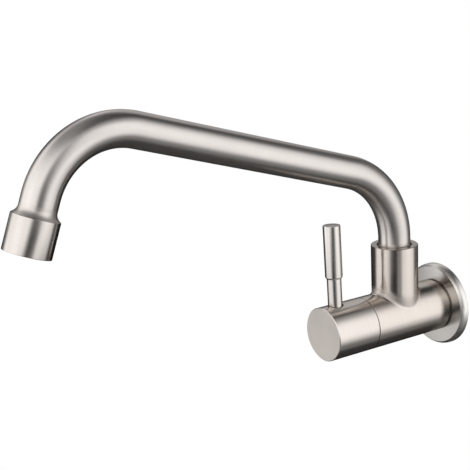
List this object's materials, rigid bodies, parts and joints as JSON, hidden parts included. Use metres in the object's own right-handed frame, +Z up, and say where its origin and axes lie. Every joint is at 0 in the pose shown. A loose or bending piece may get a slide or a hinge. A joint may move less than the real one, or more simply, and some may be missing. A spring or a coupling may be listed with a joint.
{
  "type": "wall-mounted kitchen tap",
  "caption": "Wall-mounted kitchen tap in brushed steel: quarter-turn lever on a round hub, ceramic cartridge, and a long bent tube spout that swings and ends in an aerator.",
  "frame": {"origin": "centre of the inlet on the wall plane, which is the back of the wall flange", "axes": "+Y into the wall along the body's axis, so the tap stands out along -Y; +Z up along the swivel axis; +X to the right of someone facing the wall"},
  "size_m": [0.0588, 0.3356, 0.1969],
  "materials": {
    "tube_steel": "brushed stainless steel, satin",
    "nozzle_steel": "brushed stainless steel, turned",
    "body_steel": "brushed stainless steel, satin",
    "hub_steel": "brushed stainless steel with a satin end face",
    "lever_steel": "brushed stainless steel, fine turned grain",
    "flange_steel": "brushed stainless steel with a circular grain",
    "turned_steel": "turned stainless steel",
    "fastener_steel": "plain stainless steel",
    "brass": "machined brass",
    "ceramic": "polished alumina",
    "seal_rubber": "black nitrile rubber",
    "foam_rubber": "dense closed-cell rubber",
    "slip_plastic": "white low-friction plastic",
    "dark_plastic": "black low-friction plastic",
    "aerator_plastic": "pale grey moulded plastic"
  },
  "bodies": {
    "body": {"wall_flange": "flange_steel", "flange_seal": "foam_rubber", "inlet_connector": "turned_steel", "connector_ring": "seal_rubber", "valve_body": "body_steel", "cartridge_bonnet": "brass", "bonnet_ring": "seal_rubber", "seat_seal": "seal_rubber", "fixed_disc": "ceramic", "glide_bush": "dark_plastic", "thrust_washer": "slip_plastic", "spout_grub_screw": "fastener_steel"},
    "handle": {"handle_hub": "hub_steel", "spindle_adapter": "brass", "adapter_screw": "fastener_steel", "lever_stem": "lever_steel", "lever_grip": "lever_steel", "cartridge_spindle": "brass", "spindle_rings": "seal_rubber", "spindle_clip": "fastener_steel", "thrust_ring": "slip_plastic", "moving_disc": "ceramic"},
    "spout": {"spout_tube": "tube_steel", "spout_spigot": "brass", "spigot_rings": "seal_rubber", "nozzle_collar": "nozzle_steel", "aerator_washer": "seal_rubber", "aerator_shell": "turned_steel", "jet_plate": "aerator_plastic", "aerator_screen": "fastener_steel", "aerator_grid": "aerator_plastic"}
  },
  "joints": [
    {"name": "handle_turn", "type": "hinge", "parent": "body", "child": "handle", "pos_m": [0, -0.08845, 0], "axis": [0, -1, 0], "range_deg": [0, 90]},
    {"name": "spout_swivel", "type": "hinge", "parent": "body", "child": "spout", "pos_m": [0, -0.0419, 0.0515], "axis": [0, 0, 1], "range_deg": [-95, 95]}
  ]
}
